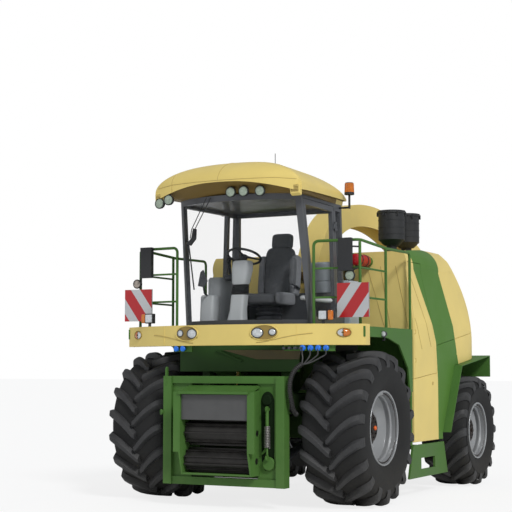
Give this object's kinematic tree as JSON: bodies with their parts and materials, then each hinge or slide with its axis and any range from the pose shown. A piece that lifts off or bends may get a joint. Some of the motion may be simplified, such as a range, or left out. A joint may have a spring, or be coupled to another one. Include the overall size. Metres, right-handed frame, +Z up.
{
  "type": "forage harvester",
  "caption": "Self-propelled forage harvester with glazed cab, large front wheels, feed rolls, engine hood and a long curved discharge spout.",
  "frame": {"origin": "ground level, midway along and across the machine", "axes": "+Z up, -Y forward, +X the machine's left side"},
  "size_m": [3.378, 6.5464, 4.178],
  "materials": {
    "cream_paint": "smooth cream-yellow gloss paint",
    "green_paint": "smooth mid-green gloss paint",
    "grey_paint": "light silver-grey paint",
    "dark_paint": "dark grey satin paint",
    "tyre_rubber": "dull black rubber",
    "tinted_glass": "lightly tinted clear glass",
    "lamp_glass": "clear and amber lamp plastic",
    "amber_plastic": "clear amber plastic",
    "roof_plastic": "smooth cream-yellow moulded plastic",
    "black_plastic": "matt black plastic",
    "grey_plastic": "matt mid-grey plastic",
    "seat_fabric": "dark grey woven fabric",
    "aluminium": "plain light alloy",
    "worn_steel": "worn bright steel",
    "board_paint": "red and white reflective paint",
    "antenna_black": "black rubber"
  },
  "bodies": {
    "machine": {"chassis_frame": "green_paint", "cross_members": "green_paint", "body_arms": "green_paint", "front_axle": "green_paint", "rear_axle": "green_paint", "engine_block": "aluminium", "chopper_housing": "green_paint", "cab_shell": "dark_paint", "cab_glass": "tinted_glass", "cab_roof": "roof_plastic", "antenna": "antenna_black", "seat": "seat_fabric", "steering_column": "grey_plastic", "cab_consoles": "grey_plastic", "cab_carrier": "green_paint", "bumper": "cream_paint", "platforms": "green_paint", "railings": "green_paint", "ladder": "green_paint", "side_steps": "green_paint", "mirrors": "black_plastic", "warning_boards": "board_paint", "lamps": "lamp_glass", "beacons": "amber_plastic", "equipment_cabinet": "grey_plastic", "hydraulic_couplers": "worn_steel", "hood": "cream_paint", "side_skirts": "cream_paint", "lower_hood": "cream_paint", "rear_fenders": "green_paint", "rear_frame": "green_paint", "air_drums": "black_plastic"},
    "front_wheel_left": {"front_tyre_left": "tyre_rubber", "front_rim_left": "grey_paint"},
    "front_wheel_right": {"front_tyre_right": "tyre_rubber", "front_rim_right": "grey_paint"},
    "knuckle_left": {"steering_knuckle_left": "green_paint"},
    "knuckle_right": {"steering_knuckle_right": "green_paint"},
    "rear_wheel_left": {"rear_tyre_left": "tyre_rubber", "rear_rim_left": "grey_paint"},
    "rear_wheel_right": {"rear_tyre_right": "tyre_rubber", "rear_rim_right": "grey_paint"},
    "track_rod": {"tie_rod": "worn_steel"},
    "feeder": {"feeder_frame": "green_paint", "feeder_shield": "grey_paint"},
    "upper_roll": {"upper_feed_roll": "worn_steel"},
    "lower_roll": {"lower_feed_roll": "worn_steel"},
    "lift_barrels": {"lift_cylinders": "dark_paint"},
    "lift_pistons": {"lift_rods": "worn_steel"},
    "door": {"cab_door": "dark_paint", "door_glass": "tinted_glass"},
    "left_side_door": {"side_door_left": "cream_paint"},
    "right_side_door": {"side_door_right": "cream_paint"},
    "grille_door": {"rear_grille": "dark_paint"},
    "turret": {"spout_turret": "cream_paint"},
    "spout_arm": {"spout": "cream_paint"},
    "flap": {"spout_flap": "cream_paint"},
    "spout_barrel": {"spout_cylinder": "dark_paint"},
    "spout_piston": {"spout_rod": "worn_steel"}
  },
  "joints": [
    {"name": "front_wheel_left_spin", "type": "hinge", "parent": "machine", "child": "front_wheel_left", "pos_m": [1.283, -2.055, 0.905], "axis": [1, 0, 0], "continuous": true},
    {"name": "front_wheel_right_spin", "type": "hinge", "parent": "machine", "child": "front_wheel_right", "pos_m": [-1.283, -2.055, 0.905], "axis": [1, 0, 0], "continuous": true},
    {"name": "steer_left", "type": "hinge", "parent": "machine", "child": "knuckle_left", "pos_m": [1.18, 1.263, 0.747], "axis": [0, 0, 1], "range_deg": [-30, 30]},
    {"name": "rear_wheel_left_spin", "type": "hinge", "parent": "knuckle_left", "child": "rear_wheel_left", "pos_m": [1.379, 1.263, 0.747], "axis": [1, 0, 0], "continuous": true},
    {"name": "steer_right", "type": "hinge", "parent": "machine", "child": "knuckle_right", "pos_m": [-1.18, 1.263, 0.747], "axis": [0, 0, 1], "range_deg": [-30, 30]},
    {"name": "rear_wheel_right_spin", "type": "hinge", "parent": "knuckle_right", "child": "rear_wheel_right", "pos_m": [-1.379, 1.263, 0.747], "axis": [1, 0, 0], "continuous": true},
    {"name": "track_rod_pivot", "type": "hinge", "parent": "knuckle_left", "child": "track_rod", "pos_m": [1.18, 1.463, 0.58], "axis": [0, 0, 1], "range_deg": [-30, 30]},
    {"name": "feeder_lift", "type": "hinge", "parent": "machine", "child": "feeder", "pos_m": [0, -2.475, 0.96], "axis": [-1, 0, 0], "range_deg": [-4, 12]},
    {"name": "upper_roll_spin", "type": "hinge", "parent": "feeder", "child": "upper_roll", "pos_m": [0, -3.04, 0.86], "axis": [1, 0, 0], "continuous": true},
    {"name": "lower_roll_spin", "type": "hinge", "parent": "feeder", "child": "lower_roll", "pos_m": [0, -3.055, 0.545], "axis": [1, 0, 0], "continuous": true},
    {"name": "lift_barrel_pivot", "type": "hinge", "parent": "machine", "child": "lift_barrels", "pos_m": [0, -2.205, 0.7], "axis": [-1, 0, 0], "range_deg": [-3, 9]},
    {"name": "lift_piston_slide", "type": "slide", "parent": "lift_barrels", "child": "lift_pistons", "axis": [0, -0.954, -0.2998], "range_m": [-0.0225, 0.067]},
    {"name": "cab_door_hinge", "type": "hinge", "parent": "machine", "child": "door", "pos_m": [0.82987, -1.608, 2.35], "axis": [-0.0295, 0, 0.9996], "range_deg": [0, 38]},
    {"name": "left_side_door_hinge", "type": "hinge", "parent": "machine", "child": "left_side_door", "pos_m": [1.482, -0.724, 1.88], "axis": [0, 0, 1], "range_deg": [-75, 0]},
    {"name": "right_side_door_hinge", "type": "hinge", "parent": "machine", "child": "right_side_door", "pos_m": [-1.482, -0.724, 1.88], "axis": [0, 0, 1], "range_deg": [0, 75]},
    {"name": "grille_door_hinge", "type": "hinge", "parent": "machine", "child": "grille_door", "pos_m": [0.883, 2.349, 1.535], "axis": [0, 0, 1], "range_deg": [-100, 0]},
    {"name": "turret_slew", "type": "hinge", "parent": "machine", "child": "turret", "pos_m": [0, -0.855, 2.6], "axis": [0, 0, 1], "range_deg": [0, 100]},
    {"name": "spout_lift", "type": "hinge", "parent": "turret", "child": "spout_arm", "pos_m": [0, -0.71, 2.89], "axis": [1, 0, 0], "range_deg": [0, 25]},
    {"name": "flap_hinge", "type": "hinge", "parent": "spout_arm", "child": "flap", "pos_m": [0, 3.01422, 3.44651], "axis": [-1, 0, 0], "range_deg": [0, 45]},
    {"name": "spout_barrel_pivot", "type": "hinge", "parent": "turret", "child": "spout_barrel", "pos_m": [-0.235, -0.61, 2.635], "axis": [1, 0, 0], "range_deg": [0, 19]},
    {"name": "spout_piston_slide", "type": "slide", "parent": "spout_barrel", "child": "spout_piston", "axis": [0, 0.501, 0.8654], "range_m": [0, 0.0825]}
  ],
  "couplings": [
    {"joint": "steer_right", "follows": "steer_left", "ratio": 1},
    {"joint": "track_rod_pivot", "follows": "steer_left", "ratio": -1},
    {"joint": "lift_barrel_pivot", "follows": "feeder_lift", "ratio": 0.74},
    {"joint": "lift_piston_slide", "follows": "feeder_lift", "m_per_rad": 0.31906},
    {"joint": "spout_barrel_pivot", "follows": "spout_lift", "ratio": 0.7546},
    {"joint": "spout_piston_slide", "follows": "spout_lift", "m_per_rad": 0.18746}
  ]
}
